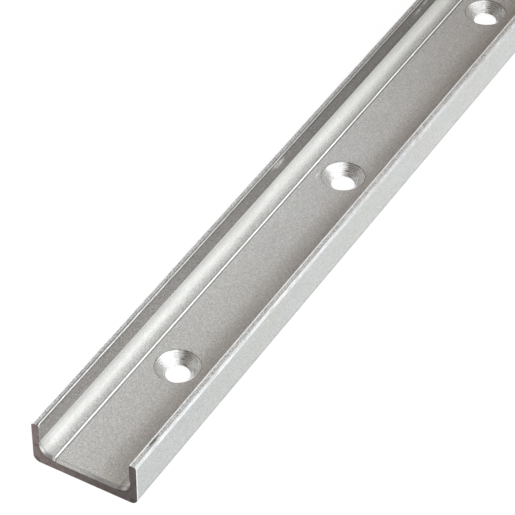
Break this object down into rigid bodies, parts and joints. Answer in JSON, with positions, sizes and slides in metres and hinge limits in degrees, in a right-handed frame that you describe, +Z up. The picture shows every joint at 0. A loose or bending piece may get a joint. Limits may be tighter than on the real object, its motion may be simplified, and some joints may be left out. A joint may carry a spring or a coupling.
{
  "type": "linear guide rail",
  "caption": "Straight U-section steel guide rail with a concave raceway in each inner corner and countersunk screw holes along its web, for a roller slider.",
  "frame": {"origin": "middle of the base, on the surface that the rail lies on", "axes": "+X across the rail, +Y along it, +Z up out of the open side of the U"},
  "size_m": [0.028, 0.48, 0.012],
  "materials": {
    "drawn_steel": "satin drawn steel with smooth bright raceways, turned countersinks and dark sawn ends"
  },
  "bodies": {
    "root": {"guide_rail": "drawn_steel"}
  },
  "joints": []
}
